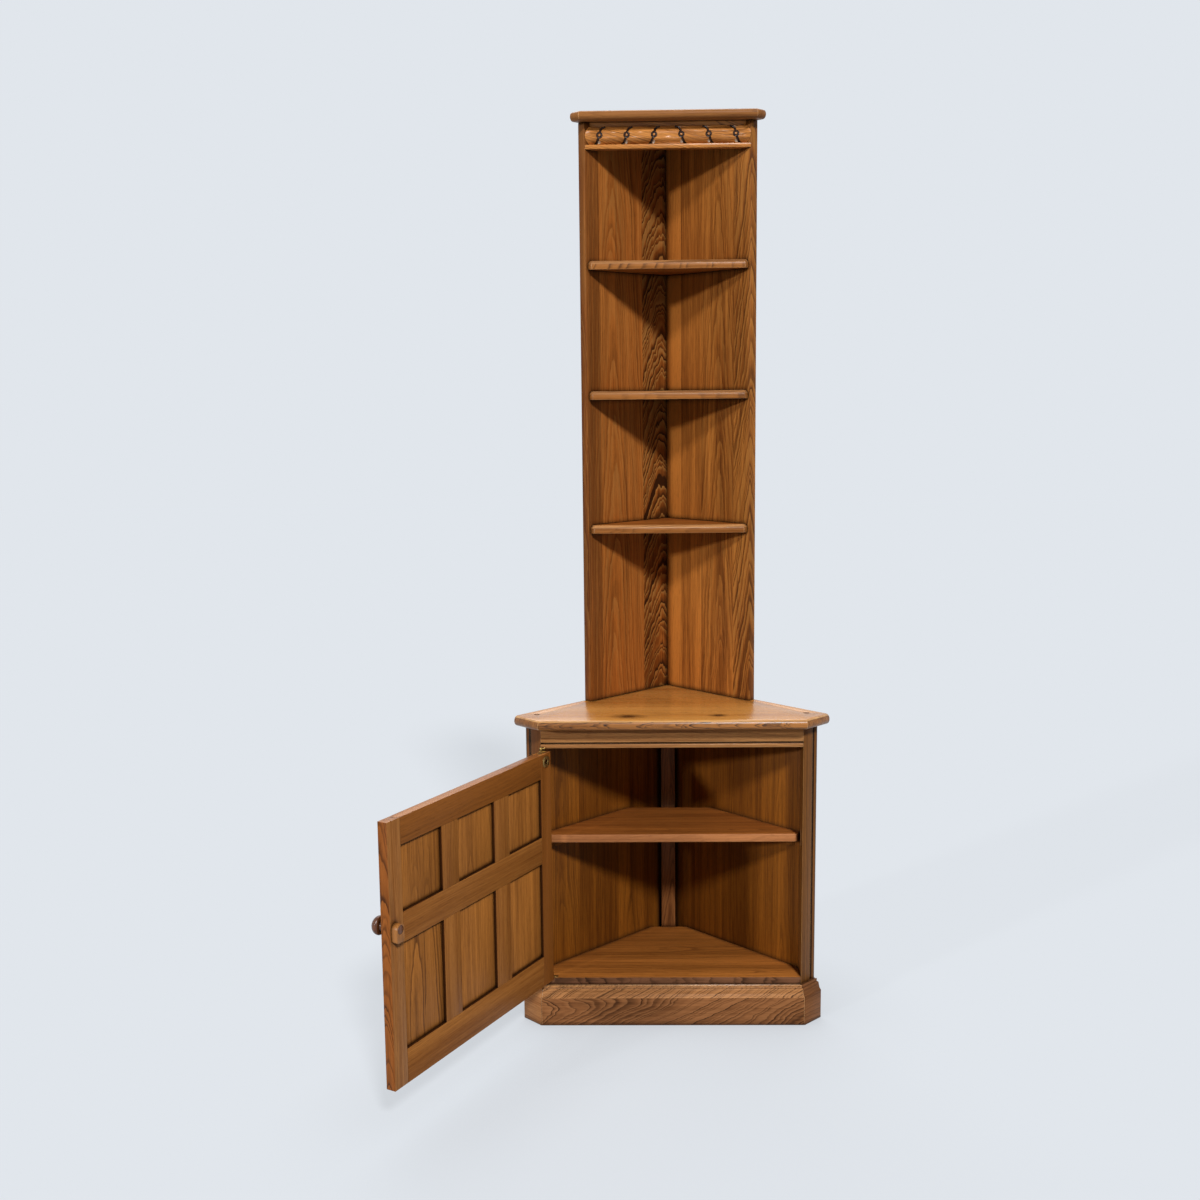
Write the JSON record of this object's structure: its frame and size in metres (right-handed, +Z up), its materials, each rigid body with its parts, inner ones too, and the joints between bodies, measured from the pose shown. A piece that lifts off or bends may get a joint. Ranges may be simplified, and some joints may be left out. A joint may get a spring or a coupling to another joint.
{
  "type": "corner cupboard",
  "caption": "Wooden corner cupboard: canted base with a moulded plinth and a panelled door, rounded worktop, and open shelves between tall back boards under a carved frieze and cornice.",
  "frame": {"origin": "middle of the underside of the front plinth board, where it stands on the floor", "axes": "+Z up, -Y out of the front of the cupboard, +X to the right as seen from the front; the walls run at 45 degrees behind it and meet at x 0, y +0.354"},
  "size_m": [0.8886, 0.8497, 1.93],
  "materials": {
    "elm": "satin lacquer",
    "pale_elm": "satin lacquer",
    "dark_elm": "satin lacquer",
    "brass": "dull"
  },
  "bodies": {
    "cabinet": {"plinth_front": "elm", "plinth_cant_left": "elm", "plinth_cant_right": "elm", "plinth_wall_rail_left": "elm", "plinth_wall_rail_right": "elm", "plinth_block_left": "elm", "plinth_block_right": "elm", "plinth_block_back": "elm", "cupboard_floor": "elm", "corner_post_left": "elm", "corner_post_right": "elm", "side_panel_left": "elm", "side_panel_right": "elm", "back_post": "dark_elm", "base_shelf": "elm", "shelf_bearer_left": "elm", "shelf_bearer_right": "elm", "front_rail": "elm", "door_stop": "elm", "worktop": "pale_elm", "worktop_plug_left": "dark_elm", "worktop_plug_right": "dark_elm", "back_board_dowel_left": "elm", "back_board_dowel_right": "elm", "back_board_left": "elm", "back_board_right": "elm", "upper_shelf_bottom": "elm", "upper_shelf_middle": "elm", "upper_shelf_top": "elm", "frieze": "elm", "frieze_block_left": "elm", "frieze_block_right": "elm", "cornice": "elm", "hinge_top_case_leaf": "brass", "hinge_bottom_case_leaf": "brass", "hinge_top_pin": "brass", "hinge_bottom_pin": "brass"},
    "door": {"door_hinge_stile": "elm", "door_lock_stile": "elm", "door_top_rail": "elm", "door_middle_rail": "elm", "door_bottom_rail": "elm", "door_muntin_upper_hinge": "elm", "door_muntin_upper_lock": "elm", "door_muntin_lower_hinge": "elm", "door_muntin_lower_lock": "elm", "door_panel_upper_hinge": "elm", "door_panel_upper_middle": "elm", "door_panel_upper_lock": "elm", "door_panel_lower_hinge": "elm", "door_panel_lower_middle": "elm", "door_panel_lower_lock": "elm", "hinge_top_door_leaf": "brass", "hinge_bottom_door_leaf": "brass", "hinge_fitting_flange": "brass", "hinge_fitting_screw": "brass"},
    "catch": {"knob": "elm", "turn_button": "elm"}
  },
  "joints": [
    {"name": "door_hinge", "type": "hinge", "parent": "cabinet", "child": "door", "pos_m": [-0.276, 0.0035, 0.357], "axis": [0, 0, 1], "range_deg": [-16.5, 118.5]},
    {"name": "catch_turn", "type": "hinge", "parent": "door", "child": "catch", "pos_m": [-0.52037, -0.47487, 0.41022], "axis": [-0.8788, 0.4772, 0], "range_deg": [0, 90]}
  ]
}
